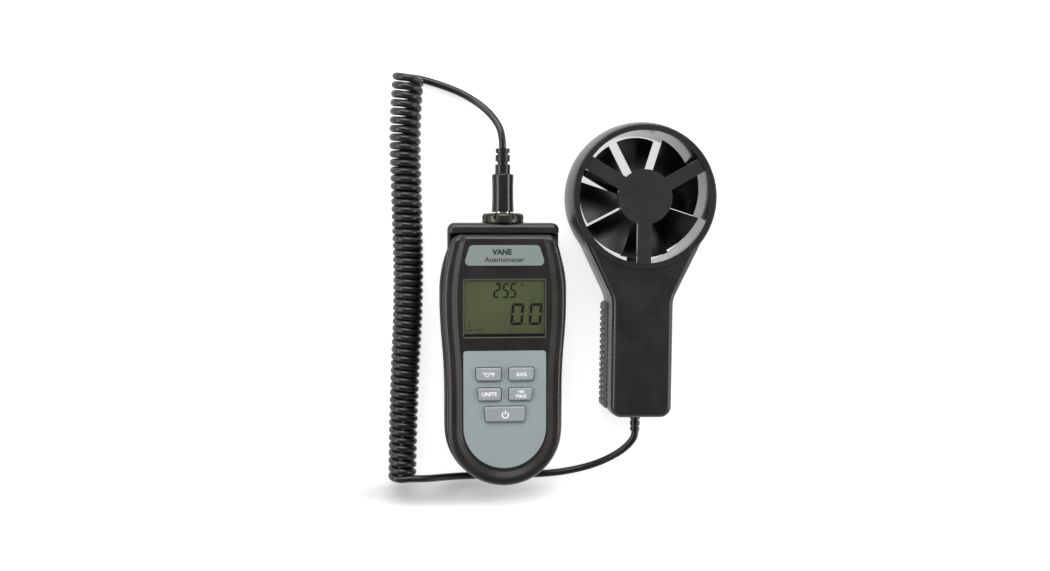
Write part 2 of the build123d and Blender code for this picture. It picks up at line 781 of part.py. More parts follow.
# ---------- plug ----------
with BuildPart() as plug_body:
    with BuildSketch(Plane.YZ):
        with BuildLine():
            barrel_mid_y = (barrel_low_y + barrel_high_y) / 2
            Line((barrel_low_y, socket_z), (barrel_low_y, socket_z + plug_barrel_radius))
            ThreePointArc(
                (barrel_low_y, socket_z + plug_barrel_radius),
                (barrel_mid_y, socket_z + plug_waist_radius),
                (barrel_high_y, socket_z + plug_barrel_radius),
            )
            Line((barrel_high_y, socket_z + plug_barrel_radius), (barrel_high_y, socket_z))
            Line((barrel_high_y, socket_z), (barrel_low_y, socket_z))
        make_face()
    revolve(axis=Axis((0, 0, socket_z), (0, 1, 0)))
    fillet(plug_body.faces().sort_by(Axis.Y)[-1].edges(), radius=0.8)
    fillet(plug_body.faces().sort_by(Axis.Y)[0].edges(), radius=0.5)
    with BuildSketch(lengthwise(barrel_low_y)):
        Circle(plug_shell_radius)
    extrude(amount=plug_seat_depth, mode=Mode.SUBTRACT)
keep(plug_body, "plug_body")

with BuildPart() as plug_shell:
    with BuildSketch(lengthwise(shell_tip_y)):
        Circle(plug_shell_radius)
        Circle(plug_shell_radius - plug_shell_wall, mode=Mode.SUBTRACT)
    extrude(amount=plug_insertion + plug_seat_depth)
keep(plug_shell, "plug_shell")

with BuildPart() as plug_insert:
    with BuildSketch(lengthwise(barrel_low_y)):
        Circle(plug_shell_radius - plug_shell_wall)
        with PolarLocations(pin_circle_radius, pin_count, pin_first_angle):
            Circle(pin_radius, mode=Mode.SUBTRACT)
    extrude(amount=plug_seat_depth)
keep(plug_insert, "plug_insert")

with BuildPart() as plug_pins:
    with BuildSketch(lengthwise(shell_tip_y + pin_recess)):
        with PolarLocations(pin_circle_radius, pin_count, pin_first_angle):
            Circle(pin_radius)
    extrude(amount=barrel_low_y + plug_seat_depth - shell_tip_y - pin_recess)
keep(plug_pins, "plug_pins")

# the strain relief is a soft stem with three collars; each is (start share, end share)
relief_collars = ((0.0, 0.37), (0.5, 0.75), (0.83, 1.0))
with BuildPart() as plug_relief:
    with BuildSketch(lengthwise(barrel_high_y)):
        Circle(relief_groove_radius)
    extrude(amount=relief_length)
    for start, end in relief_collars:
        with BuildSketch(lengthwise(barrel_high_y + start * relief_length)):
            Circle(relief_radius - 0.3 * start)
        extrude(amount=(end - start) * relief_length)
keep(plug_relief, "plug_relief")

# ---------- shells of the probe ----------
with BuildPart() as probe_solid:
    # neck and handle: a bar that narrows a little towards its front and its back
    for reach, draft in ((handle_front_z - probe_split_z, handle_draft), (-probe_split_z, handle_draft / 2)):
        with BuildSketch(probe_frame.offset(probe_split_z)):
            add(handle_profile())
        extrude(amount=reach, taper=draft)
    top_edges = probe_solid.faces().sort_by(Axis.Z)[-1].edges()
    fillet(top_edges, radius=handle_round)
    fillet(probe_solid.faces().sort_by(Axis.Z)[0].edges(), radius=handle_round)
    # the vane head's barrel-shaped ring, with its bore
    add(ring_solid())
    with BuildSketch(probe_frame):
        Circle(bore_radius)
    extrude(amount=head_depth, mode=Mode.SUBTRACT)
    # inside: handle and neck are hollow up to the ring
    with BuildSketch(probe_frame.offset(probe_wall)):
        add(handle_profile(probe_wall + 0.5))
        Circle(bulge_radius + 0.6, mode=Mode.SUBTRACT)
    extrude(amount=handle_front_z - 2 * probe_wall, mode=Mode.SUBTRACT)
    # seat for the guards' sleeves, which go in from the parting plane
    with BuildSketch(probe_frame.offset(rear_guard_z)):
        Circle(guard_seat_radius)
    extrude(amount=front_guard_z - rear_guard_z, mode=Mode.SUBTRACT)

with BuildPart() as probe_front_shell:
    add(probe_solid.part)
    split(bisect_by=Plane.XY.offset(probe_split_z), keep=Keep.TOP)
    with BuildSketch(probe_frame.offset(probe_split_z)):
        with Locations(*probe_screws_at):
            Circle(boss_radius)
            Circle(screw_radius, mode=Mode.SUBTRACT)
    extrude(amount=handle_front_z - probe_wall - probe_split_z)
keep(probe_front_shell, "probe_front_shell")

with BuildPart() as probe_rear_shell:
    add(probe_solid.part)
    split(bisect_by=Plane.XY.offset(probe_split_z), keep=Keep.BOTTOM)
    with BuildSketch(probe_frame.offset(probe_wall)):
        with Locations(*probe_screws_at):
            Circle(boss_radius)
    extrude(amount=probe_split_z - probe_wall)
    with BuildSketch(probe_frame):
        with Locations(*probe_screws_at):
            Circle(screw_head_radius + screw_gap)
    extrude(amount=screw_sink + screw_head_height, mode=Mode.SUBTRACT)
    with BuildSketch(probe_frame):
        with Locations(*probe_screws_at):
            Circle(screw_radius + screw_gap)
    extrude(amount=probe_split_z, mode=Mode.SUBTRACT)
    # pockets for the grips in both sides
    with BuildSketch(probe_frame.offset(grip_low_z)):
        with Locations(*[(sx * (grip_inner_x + grip_depth / 2), grip_mid_y) for sx in (-1, 1)]):
            Rectangle(grip_depth, grip_length)
    extrude(amount=grip_high_z - grip_low_z, mode=Mode.SUBTRACT)
    # hole for the lead's strain relief
    with BuildSketch(probe_across(handle_end_y - 1)):
        Circle(probe_relief_radius + fit)
    extrude(amount=-(probe_wall + 2), mode=Mode.SUBTRACT)
keep(probe_rear_shell, "probe_rear_shell")

with BuildPart() as probe_screws:
    for radius, length in ((screw_head_radius, screw_head_height), (screw_radius, probe_screw_length)):
        with BuildSketch(probe_frame.offset(screw_sink)):
            with Locations(*probe_screws_at):
                Circle(radius)
        extrude(amount=length)
    with BuildSketch(probe_frame.offset(screw_sink)):
        add(cross_profile(probe_screws_at))
    extrude(amount=recess_depth, mode=Mode.SUBTRACT)
keep(probe_screws, "probe_screws")

# ---------- ribbed grips let into the sides of the handle ----------
rib_count = int((grip_length - 4.0) / grip_rib_pitch)
for name, side in (("grip_left", -1), ("grip_right", 1)):
    with BuildPart() as grip:
        with BuildSketch(probe_frame.offset(grip_low_z + fit)):
            with Locations((side * (grip_inner_x + fit + grip_outer_x) / 2, grip_mid_y)):
                Rectangle(grip_outer_x - grip_inner_x - fit, grip_length - 2 * fit)
        extrude(amount=grip_high_z - grip_low_z - 2 * fit)
        outer = grip.faces().sort_by(Axis.X)[0 if side < 0 else -1]
        ends = outer.edges().filter_by(lambda e: abs(e.tangent_at(0.5).Z) > 0.9)
        fillet(ends, radius=1.8)
        with BuildSketch(probe_frame.offset(grip_low_z)):
            with Locations((side * grip_outer_x, grip_mid_y)):
                with GridLocations(1, grip_rib_pitch, 1, rib_count):
                    Rectangle(2 * grip_rib_depth, grip_rib_pitch * 0.4)
        extrude(amount=grip_high_z - grip_low_z, mode=Mode.SUBTRACT)
    keep(grip, name)

# ---------- guards ----------
# each guard is a sleeve that lines its half of the bore, with three spokes and a hub at its outer end
for name, base_z, hub_radius, up in (
    ("front_guard", front_guard_z, front_hub_radius, -1),
    ("rear_guard", rear_guard_z, rear_hub_radius, 1),
):
    with BuildPart() as guard:
        with BuildSketch(probe_frame.offset(base_z)):
            Circle(bore_radius + guard_rim_width)
            Circle(bore_radius, mode=Mode.SUBTRACT)
        extrude(amount=probe_split_z - base_z)
        with BuildSketch(probe_frame.offset(base_z)):
            Circle(hub_radius)
            for angle in spoke_angles:
                mid_radius = (bore_radius + guard_rim_width / 2) / 2
                with Locations((mid_radius * cos(radians(angle)), mid_radius * sin(radians(angle)))):
                    Rectangle(2 * mid_radius, spoke_width, rotation=angle)
        extrude(amount=up * spoke_thickness)
        with BuildSketch(probe_frame.offset(base_z)):
            Circle(bearing_boss_radius)
        extrude(amount=up * (spoke_thickness + bearing_boss_height))
        with BuildSketch(probe_frame.offset(base_z + up * (spoke_thickness + bearing_boss_height))):
            Circle(bearing_radius)
        extrude(amount=-up * bearing_height, mode=Mode.SUBTRACT)
        with BuildSketch(probe_frame.offset(base_z + up * (spoke_thickness + bearing_boss_height))):
            Circle(axle_radius + hidden_gap)
        extrude(amount=-up * (bearing_height + axle_end_gap), mode=Mode.SUBTRACT)
        if up > 0:
            with BuildSketch(probe_frame.offset(base_z + spoke_thickness)):
                with Locations((pickup_radius, 0)):
                    Rectangle(pickup_size, pickup_size)
            extrude(amount=-pickup_height, mode=Mode.SUBTRACT)
    keep(guard, name)

for name, low_z in (
    ("front_bearing", front_guard_z - spoke_thickness - bearing_boss_height),
    ("rear_bearing", rear_guard_z + spoke_thickness + bearing_boss_height - bearing_height),
):
    with BuildPart() as bearing:
        with BuildSketch(probe_frame.offset(low_z)):
            Circle(bearing_radius)
            Circle(axle_radius + running_fit, mode=Mode.SUBTRACT)
        extrude(amount=bearing_height)
    keep(bearing, name)

# ---------- impeller, its axle and its magnet ----------
hub_low_z = rear_guard_z + spoke_thickness + bearing_boss_height + hub_gap
hub_high_z = front_guard_z - spoke_thickness - bearing_boss_height - hub_gap
with BuildPart() as impeller:
    with BuildSketch(probe_frame.offset(impeller_z - impeller_height / 2)):
        Circle(impeller_ring_outer)
        Circle(impeller_ring_inner, mode=Mode.SUBTRACT)
    extrude(amount=impeller_height)
    with BuildSketch(probe_frame.offset(hub_low_z)):
        Circle(impeller_hub_radius)
    extrude(amount=hub_high_z - hub_low_z)
    with BuildSketch(probe_frame.offset(impeller_z - web_height / 2)):
        with PolarLocations(impeller_ring_inner / 2, web_count, 45):
            Rectangle(impeller_ring_inner + 1, web_width)
    extrude(amount=web_height)
    # pitched blades with straight gaps between them, trimmed round at the tip
    blade_inner = impeller_ring_outer - 1.0
    blade_outer = impeller_tip_radius + 1.0
    for i in range(blade_count):
        angle = blade_first_angle + i * 360 / blade_count
        for radius in (blade_inner, blade_outer):
            half = radius * tan(pi / blade_count) - blade_gap / 2
            rise = impeller_height / 2
            with BuildSketch(probe_radial(angle, radius, impeller_z)):
                with BuildLine():
                    Polyline(
                        (-half, -rise), (half, rise - blade_thickness), (half, rise),
                        (-half, -rise + blade_thickness), close=True,
                    )
                make_face()
        loft(ruled=True)
    with BuildSketch(probe_frame):
        Circle(impeller_tip_radius)
    extrude(amount=head_depth, mode=Mode.INTERSECT)
    with BuildSketch(probe_frame):
        Circle(axle_radius)
    extrude(amount=head_depth, mode=Mode.SUBTRACT)
    # seat for the magnet in the hub's rear end
    with BuildSketch(probe_frame.offset(hub_low_z)):
        Circle(magnet_radius)
    extrude(amount=magnet_height, mode=Mode.SUBTRACT)
keep(impeller, "impeller")

with BuildPart() as rotor_magnet:
    with BuildSketch(probe_frame.offset(hub_low_z)):
        Circle(magnet_radius)
        Circle(axle_radius, mode=Mode.SUBTRACT)
    extrude(amount=magnet_height)
keep(rotor_magnet, "rotor_magnet")

axle_low_z = rear_guard_z + spoke_thickness + bearing_boss_height - bearing_height - axle_end_gap / 2
axle_high_z = front_guard_z - spoke_thickness - bearing_boss_height + bearing_height + axle_end_gap / 2
with BuildPart() as rotor_axle:
    with BuildSketch(probe_frame.offset(axle_low_z)):
        Circle(axle_radius)
    extrude(amount=axle_high_z - axle_low_z)
keep(rotor_axle, "rotor_axle")

# ---------- sensors and board of the probe ----------
with BuildPart() as pickup_sensor:
    with BuildSketch(probe_frame.offset(rear_guard_z + spoke_thickness)):
        with Locations((pickup_radius, 0)):
            Rectangle(pickup_size, pickup_size)
    extrude(amount=-pickup_height)
keep(pickup_sensor, "pickup_sensor")

board_mid_y = (probe_board_low_y + probe_board_high_y) / 2
with BuildPart() as probe_pcb:
    with BuildSketch(probe_frame.offset(handle_axis_z)):
        with Locations((0, board_mid_y)):
            Rectangle(probe_board_width, probe_board_high_y - probe_board_low_y)
    extrude(amount=board_thickness)
keep(probe_pcb, "probe_pcb")

with BuildPart() as temperature_sensor:
    with BuildSketch(probe_frame.offset(handle_axis_z + board_thickness)):
        with Locations((0, probe_board_high_y - temperature_sensor_size[1])):
            Rectangle(temperature_sensor_size[0], temperature_sensor_size[1])
    extrude(amount=temperature_sensor_size[2])
keep(temperature_sensor, "temperature_sensor")

# ---------- the lead's strain relief at the probe ----------
probe_collars = ((0.0, 0.3), (0.42, 0.68), (0.8, 1.0))
with BuildPart() as probe_relief:
    with BuildSketch(probe_across(handle_end_y + probe_wall + 0.6)):
        Circle(probe_relief_radius + relief_flange)
    extrude(amount=-relief_flange_thickness)
    with BuildSketch(probe_across(handle_end_y)):
        Circle(probe_relief_radius)
    extrude(amount=-(probe_wall + 1.0))
    with BuildSketch(probe_across(handle_end_y)):
        Circle(probe_relief_groove)
    extrude(amount=probe_relief_length)
    for start, end in probe_collars:
        with BuildSketch(probe_across(handle_end_y - start * probe_relief_length)):
            Circle(probe_relief_radius - 0.25 * start)
        extrude(amount=(end - start) * probe_relief_length)
keep(probe_relief, "probe_relief")


# ---------- the lead ----------
def cord_tube(points, radius, label):
    """A tube along straight runs that tangent arcs join; prints the arcs' radii and its volume."""
    places = [Vector(*point) for point in points]
    radii = []
    for before, here, after in zip(places, places[1:], places[2:]):
        turned = (here - before).get_angle(after - here)
        shorter = min((here - before).length, (after - here).length)
        radii.append(0.45 * shorter / tan(radians(turned) / 2))
    with BuildPart() as tube:
        with BuildLine() as path:
            FilletPolyline(*places, radius=radii)
        with BuildSketch(Plane(origin=places[0], z_dir=places[1] - places[0])):
            Circle(radius)
        sweep(path=path.wire())
    length = path.wire().length
    print(label, "radii", [round(r, 1) for r in radii], "length", round(length, 1))
    print(label, "volume", round(tube.part.volume, 1), "expected", round(pi * radius**2 * length, 1))
    keep(tube, label)


def cord_places(start_y, steps):
    """Points of the lead, each given as its x, its distance along +Y from a start, and its height."""
    return [(x, start_y + rise, z) for x, rise, z in steps]


# from the plug's strain relief, down to the table and left to the coil's far end
upper_steps = (
    (0.0, 0.0, socket_z), (0.0, 7.8, socket_z), (-3.9, 15.9, 9.0), (-11.2, 23.8, 3.8), (-23.0, 30.7, 2.0),
    (-40.5, 36.1, 1.9),
)
cord_tube(cord_places(relief_tip_y, upper_steps), cord_radius, "cord_upper")
# the curly stretch, as a plain tube of the coil's own diameter
coil_top_steps = ((-46.9, 38.6, coil_radius), (-49.4, 14.6, coil_radius))
coil_middle = [(-48.3, 78.0, coil_radius), (-47.3, 30.0, coil_radius), (-50.4, -22.0, coil_radius)]
coil_end = (-51.3, end_y + 0.6, coil_radius)
coil_places = cord_places(relief_tip_y, coil_top_steps) + coil_middle + [coil_end]
cord_tube(coil_places, coil_radius, "cord_coil")
# from the coil's near end, under the meter's tail and up to the probe's strain relief
lower_steps = (
    (-47.6, 3.0, 13.2), (-39.0, 2.5, 12.2), (-28.0, 1.9, 6.0), (-14.8, 1.4, 2.0), (8.0, 1.2, 1.9),
    (27.0, 1.6, 1.9), (41.0, 3.8, 2.2), (51.0, 7.4, 5.0),
)
# the last bend, in the probe's own axes from the strain relief's tip
relief_tip = handle_end_y - probe_relief_length
probe_steps = (
    (-8.6, -15.0, 9.0), (-3.9, -11.2, 11.6), (-1.1, -7.2, handle_axis_z - 0.3), (0.0, -3.6, handle_axis_z),
    (0.0, 0.0, handle_axis_z),
)
probe_places = [tuple(probe_point(x, relief_tip + rise, z)) for x, rise, z in probe_steps]
cord_tube(cord_places(end_y, lower_steps) + probe_places, cord_radius, "cord_lower")
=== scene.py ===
"""Vane anemometer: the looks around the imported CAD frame. Metres, in the CAD's own axes."""

from math import cos, pi, radians, sin

import bmesh
import bpy
from mathutils import Matrix, Vector


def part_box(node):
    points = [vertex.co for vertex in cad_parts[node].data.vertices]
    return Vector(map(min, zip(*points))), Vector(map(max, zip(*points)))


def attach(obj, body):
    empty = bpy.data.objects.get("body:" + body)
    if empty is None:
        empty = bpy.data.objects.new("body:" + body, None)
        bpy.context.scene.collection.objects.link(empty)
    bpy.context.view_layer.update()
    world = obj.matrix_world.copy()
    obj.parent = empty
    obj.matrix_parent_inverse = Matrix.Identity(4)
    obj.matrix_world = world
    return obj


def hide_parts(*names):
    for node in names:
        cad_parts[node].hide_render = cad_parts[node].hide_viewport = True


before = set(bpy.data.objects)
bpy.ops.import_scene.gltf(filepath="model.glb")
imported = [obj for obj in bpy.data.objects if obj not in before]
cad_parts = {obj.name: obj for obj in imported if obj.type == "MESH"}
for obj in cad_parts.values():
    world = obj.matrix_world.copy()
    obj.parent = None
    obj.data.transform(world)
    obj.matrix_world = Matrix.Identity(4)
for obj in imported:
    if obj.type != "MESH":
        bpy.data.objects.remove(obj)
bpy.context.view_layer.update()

ROOT = "meter_and_probe"
MM = 0.001
scene = bpy.context.scene


# ---------- camera ----------
def make_camera():
    """A view almost straight down on the table, from a little left of the meter."""
    eye = Vector((-0.0367, 0.0549, 0.5127))
    aim = Vector((0.0099, 0.0350, 0.0276))
    back = (eye - aim).normalized()
    right = Vector((0, 1, 0)).cross(back).normalized()
    up = back.cross(right)
    data = bpy.data.cameras.new("camera")
    data.sensor_width = 36.0
    data.lens = 33.92
    data.clip_start = 0.01
    camera = bpy.data.objects.new("camera", data)
    camera.matrix_world = Matrix.Translation(eye) @ Matrix((right, up, back)).transposed().to_4x4()
    scene.collection.objects.link(camera)
    scene.camera = camera


make_camera()

# ---------- the lead: one spline from the plug, round the coil and on to the probe ----------
CORD = 0.0037
plug_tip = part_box("plug_relief")[1].y
case_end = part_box("rear_shell")[0].y
relief_low, relief_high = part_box("probe_relief")
probe_tip = Vector(((relief_low.x + relief_high.x) / 2, relief_low.y, 0))

# x, distance from the plug's tip along +Y, height; in millimetres
UPPER = (
    (0.0, 0.0, 13.0), (0.0, 7.8, 13.0), (-3.9, 15.9, 9.0), (-11.2, 23.8, 3.8), (-23.0, 30.7, 2.0),
    (-40.5, 36.1, 1.9),
)
COIL_TOP = ((-46.9, 38.6, 8.2), (-49.4, 14.6, 8.1))
COIL_MIDDLE = ((-48.3, 78.0, 7.9), (-47.3, 30.0, 7.7), (-50.4, -22.0, 7.5))
COIL_END = (-51.3, 0.6, 7.3)
# x, distance from the case's end along +Y, height
LOWER = (
    (-47.6, 3.0, 13.2), (-39.0, 2.5, 12.2), (-28.0, 1.9, 6.0), (-14.8, 1.4, 2.0), (8.0, 1.2, 1.9),
    (27.0, 1.6, 1.9), (41.0, 3.8, 2.2), (51.0, 7.4, 5.0),
)
# the last bend, in the probe's own axes from the strain relief's tip
PROBE_STEPS = (
    (-9.6, -13.6, 9.0), (-4.9, -9.6, 11.4), (-1.7, -5.8, 12.6), (0.0, -2.6, 13.0), (0.0, 0.0, 13.0),
)
PROBE_TURN = radians(-0.7)
COIL_TURNS = 53.5
TURN_POINTS = 12
# how much wider than the middle turns the coil's end turns are set, and the drift between turns
END_OPENING, LOWER_OPENING, PITCH_DRIFT = 0.084, 0.041, 0.02
GUIDE_RESOLUTION, LEAD_RESOLUTION = 24, 5
# the turns' radius at the coil's two ends
HELIX_TOP, HELIX_END = 0.00645, 0.00552


def from_start(start_y, steps):
    return [Vector((x * MM, start_y + rise * MM, z * MM)) for x, rise, z in steps]


def spline_curve(name, points, resolution):
    """A curve object of one open NURBS spline with these control points."""
    data = bpy.data.curves.new(name, "CURVE")
    data.dimensions = "3D"
    spline = data.splines.new("NURBS")
    spline.points.add(len(points) - 1)
    for control, place in zip(spline.points, points):
        control.co = (*place, 1.0)
        control.radius = CORD / 2
    spline.order_u = 3
    spline.use_endpoint_u = True
    spline.resolution_u = resolution
    data.resolution_u = resolution
    made = bpy.data.objects.new(name, data)
    scene.collection.objects.link(made)
    return made


def evaluated_mesh(source):
    """A new mesh of an object's shape as it is shown."""
    bpy.context.view_layer.update()
    return bpy.data.meshes.new_from_object(source.evaluated_get(bpy.context.evaluated_depsgraph_get()))


def line_of(curve):
    """The points along a curve that has no bevel."""
    mesh = evaluated_mesh(curve)
    places = [v.co.copy() for v in mesh.vertices]
    bpy.data.meshes.remove(mesh)
    return places


def coil_points():
    """Control points of the coil's turns, round the line that the coil's own route makes."""
    route = from_start(plug_tip, COIL_TOP)
    route += [Vector(p) * MM for p in COIL_MIDDLE]
    route += from_start(case_end, [COIL_END])
    guide = spline_curve("coil_guide", route, GUIDE_RESOLUTION)
    line = line_of(guide)
    bpy.data.objects.remove(guide)
    reach = [0.0]
    for a, b in zip(line, line[1:]):
        reach.append(reach[-1] + (b - a).length)

    def at(distance):
        k = max(i for i, r in enumerate(reach[:-1]) if r <= max(distance, 0.0))
        share = (distance - reach[k]) / (reach[k + 1] - reach[k])
        return line[k].lerp(line[k + 1], share), (line[k + 1] - line[k]).normalized()

    count = int(COIL_TURNS * TURN_POINTS)
    # the turns are pressed together in the middle, with a slow drift, and open towards both ends
    pitches = []
    for i in range(count):
        share = i / count
        drift = PITCH_DRIFT * sin(4.1 * i / TURN_POINTS + 1)
        opening = LOWER_OPENING * cos(pi * share) + END_OPENING * cos(2 * pi * share)
        pitches.append(1 / (1 - opening) + drift)
    usable = reach[-1] - CORD
    unit = usable / sum(pitches)
    places, distance = [], CORD / 2
    for i in range(count + 1):
        angle = -pi / 2 + 2 * pi * i / TURN_POINTS
        centre, along = at(distance)
        side = along.cross(Vector((0, 0, 1))).normalized()
        radius = HELIX_TOP + (HELIX_END - HELIX_TOP) * i / count
        places.append(centre + radius * (side * cos(angle) + Vector((0, 0, 1)) * sin(angle)))
        if i < count:
            distance += unit * pitches[i]
    return places


def probe_place(x, y, z):
    """A place in the probe's own axes, from the tip of its strain relief."""
    turned_x = x * cos(PROBE_TURN) - y * sin(PROBE_TURN)
    turned_y = x * sin(PROBE_TURN) + y * cos(PROBE_TURN)
    return probe_tip + Vector((turned_x, turned_y, z)) * MM


cord_points = from_start(plug_tip, UPPER) + coil_points() + from_start(case_end, LOWER)
cord_points += [probe_place(*step) for step in PROBE_STEPS]
lead = spline_curve("lead", cord_points, LEAD_RESOLUTION)
lead_length = sum((b - a).length for a, b in zip(line_of(lead), line_of(lead)[1:]))
lead.data.bevel_depth = 1.0
lead.data.bevel_resolution = 5
lead.data.use_fill_caps = True
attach(lead, ROOT)
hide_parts("cord_upper", "cord_coil", "cord_lower")


# ---------- materials ----------
def shade(red, green, blue):
    """A linear colour from its 0 to 255 display values."""
    linear = [((v / 255 + 0.055) / 1.055) ** 2.4 if v > 10 else v / 255 / 12.92 for v in (red, green, blue)]
    return (*linear, 1.0)


class Surface:
    """A procedural material, built socket by socket."""

    def __init__(self, name):
        self.material = bpy.data.materials.new(name)
        self.material.use_nodes = True
        self.tree = self.material.node_tree
        self.shader = self.tree.nodes["Principled BSDF"]
        self.place = self.node("ShaderNodeTexCoord").outputs["Object"]

    def node(self, kind, **settings):
        made = self.tree.nodes.new(kind)
        for key, value in settings.items():
            setattr(made, key, value)
        return made

    def link(self, out, into):
        self.tree.links.new(out, into)

    def noise(self, size, detail=3.0, stretch=None):
        """Noise with features of that size in metres, drawn out by stretch along each axis."""
        made = self.node("ShaderNodeTexNoise")
        made.inputs["Scale"].default_value = 1 / size
        made.inputs["Detail"].default_value = detail
        place = self.place
        if stretch:
            mapping = self.node("ShaderNodeMapping")
            mapping.inputs["Scale"].default_value = stretch
            self.link(place, mapping.inputs["Vector"])
            place = mapping.outputs["Vector"]
        self.link(place, made.inputs["Vector"])
        return made.outputs["Fac"]

    def between(self, factor, low, high):
        """A colour that goes from low to high as factor goes from 0.3 to 0.7."""
        ramp = self.node("ShaderNodeValToRGB")
        ramp.color_ramp.elements[0].position, ramp.color_ramp.elements[0].color = 0.3, low
        ramp.color_ramp.elements[1].position, ramp.color_ramp.elements[1].color = 0.7, high
        self.link(factor, ramp.inputs["Fac"])
        return ramp.outputs["Color"]

    def scaled(self, value, low, high, from_low=0.3, from_high=0.7):
        made = self.node("ShaderNodeMapRange")
        for key, number in zip(("From Min", "From Max", "To Min", "To Max"), (from_low, from_high, low, high)):
            made.inputs[key].default_value = number
        self.link(value, made.inputs["Value"])
        return made.outputs["Result"]

    def bump(self, height, depth, soften=0.0):
        """Relief of that depth in metres, over edges that soften rounds off."""
        made = self.node("ShaderNodeBump")
        made.inputs["Distance"].default_value = depth
        self.link(height, made.inputs["Height"])
        if soften:
            edges = self.node("ShaderNodeBevel", samples=4)
            edges.inputs["Radius"].default_value = soften
            self.link(edges.outputs["Normal"], made.inputs["Normal"])
        self.link(made.outputs["Normal"], self.shader.inputs["Normal"])

    def set(self, **values):
        for key, value in values.items():
            self.shader.inputs[key.replace("_", " ")].default_value = value


def grained(name, low, high, rough, grain=0.00035, depth=0.00001, drift=0.012, soften=0.0, **values):
    """Colour and gloss that drift over drift metres, under a fine grain."""
    made = Surface(name)
    slow, fine = made.noise(drift), made.noise(grain, 2.0)
    made.link(made.between(slow, low, high), made.shader.inputs["Base Color"])
    made.link(made.scaled(slow, *rough), made.shader.inputs["Roughness"])
    made.bump(fine, depth, soften)
    made.set(**values)
    return made


def paint(surface, *names):
    """Gives these CAD nodes or pieces the material."""
    for name in names:
        data = bpy.data.objects[name].data
        if not data.materials:
            data.materials.append(surface.material)
        for index in range(len(data.materials)):
            data.materials[index] = surface.material


case_plastic = grained(
    "case_plastic", shade(27, 25, 24), shade(36, 33, 31), (0.3, 0.38), soften=0.0002,
    Specular_IOR_Level=0.45,
)
probe_plastic = grained(
    "probe_plastic", shade(26, 26, 26), shade(34, 34, 33), (0.3, 0.38), grain=0.0005, depth=0.000015,
    soften=0.0002,
)
guard_plastic = grained(
    "guard_plastic", shade(30, 28, 28), shade(38, 35, 34), (0.15, 0.22), grain=0.0004, depth=0.000004,
    soften=0.0002, Specular_IOR_Level=1.0, Coat_Weight=0.4, Coat_Roughness=0.12,
)
blade_plastic = grained("blade_plastic", shade(10, 10, 10), shade(15, 15, 16), (0.35, 0.45), soften=0.0001)
# the grips' light grey is partly the rubber's own grey and partly a painted sheen
grip_rubber = grained(
    "grip_rubber", shade(94, 93, 93), shade(108, 107, 106), (0.6, 0.75), grain=0.0006, depth=0.00002,
    soften=0.00015,
)
plug_plastic = grained(
    "plug_plastic", shade(22, 21, 20), shade(32, 30, 28), (0.2, 0.28), grain=0.0006, depth=0.000006,
    soften=0.00015,
)
insulator = grained("insulator", shade(20, 20, 20), shade(28, 28, 28), (0.45, 0.55))
chip_plastic = grained("chip_plastic", shade(24, 24, 25), shade(34, 34, 35), (0.5, 0.6))
key_rubber = grained(
    "key_rubber", shade(142, 147, 150), shade(152, 157, 160), (0.42, 0.52), grain=0.0003, depth=0.000006,
    soften=0.0003,
)
mat_rubber = grained("mat_rubber", shade(120, 124, 126), shade(134, 138, 140), (0.6, 0.7))
steel = grained(
    "steel", shade(150, 150, 152), shade(176, 176, 178), (0.25, 0.36), grain=0.0002, depth=0.000003,
    soften=0.0001, Metallic=1.0,
)
nickel = grained("nickel", shade(205, 203, 200), shade(224, 222, 218), (0.1, 0.18), Metallic=1.0)
nut_metal = grained(
    "nut_metal", shade(58, 56, 50), shade(72, 70, 62), (0.26, 0.36), grain=0.0003, depth=0.000006,
    soften=0.0002, Metallic=0.75,
)
brass = grained("brass", shade(214, 176, 96), shade(226, 190, 112), (0.2, 0.3), Metallic=1.0)
magnet_metal = grained("magnet_metal", shade(120, 120, 124), shade(140, 140, 144), (0.25, 0.35), Metallic=1.0)
battery_jacket = grained("battery_jacket", shade(60, 64, 70), shade(72, 76, 84), (0.3, 0.4), Metallic=0.4)


def board_surface():
    """Green laminate with a faint copper pattern under the resist."""
    made = Surface("circuit_board")
    tracks = made.node("ShaderNodeTexBrick")
    tracks.inputs["Scale"].default_value = 260.0
    tracks.inputs["Color1"].default_value = shade(24, 92, 52)
    tracks.inputs["Color2"].default_value = shade(28, 104, 60)
    tracks.inputs["Mortar"].default_value = shade(44, 128, 74)
    made.link(made.place, tracks.inputs["Vector"])
    made.link(tracks.outputs["Color"], made.shader.inputs["Base Color"])
    made.link(made.scaled(made.noise(0.004), 0.3, 0.42), made.shader.inputs["Roughness"])
    return made


def connector_surface():
    """Elastomer with conducting stripes."""
    made = Surface("connector_rubber")
    bands = made.node("ShaderNodeTexWave")
    bands.inputs["Scale"].default_value = 900.0
    made.link(made.place, bands.inputs["Vector"])
    striped = made.between(bands.outputs["Fac"], shade(150, 150, 150), shade(30, 30, 30))
    made.link(striped, made.shader.inputs["Base Color"])
    made.set(Roughness=0.6)
    return made


def film_surface(name, low, high):
    """Printed film: a flat colour with a fine speckle and a slightly uneven satin face."""
    made = Surface(name)
    speckle, slow = made.noise(0.00018, 2.0), made.noise(0.02)
    mixed = made.node("ShaderNodeMix", data_type="RGBA", blend_type="MIX")
    mixed.inputs["Factor"].default_value = 0.3
    made.link(made.between(slow, low, high), mixed.inputs["A"])
    made.link(made.between(speckle, low, high), mixed.inputs["B"])
    made.link(mixed.outputs["Result"], made.shader.inputs["Base Color"])
    made.link(made.scaled(slow, 0.4, 0.48), made.shader.inputs["Roughness"])
    made.bump(speckle, 0.000004)
    return made


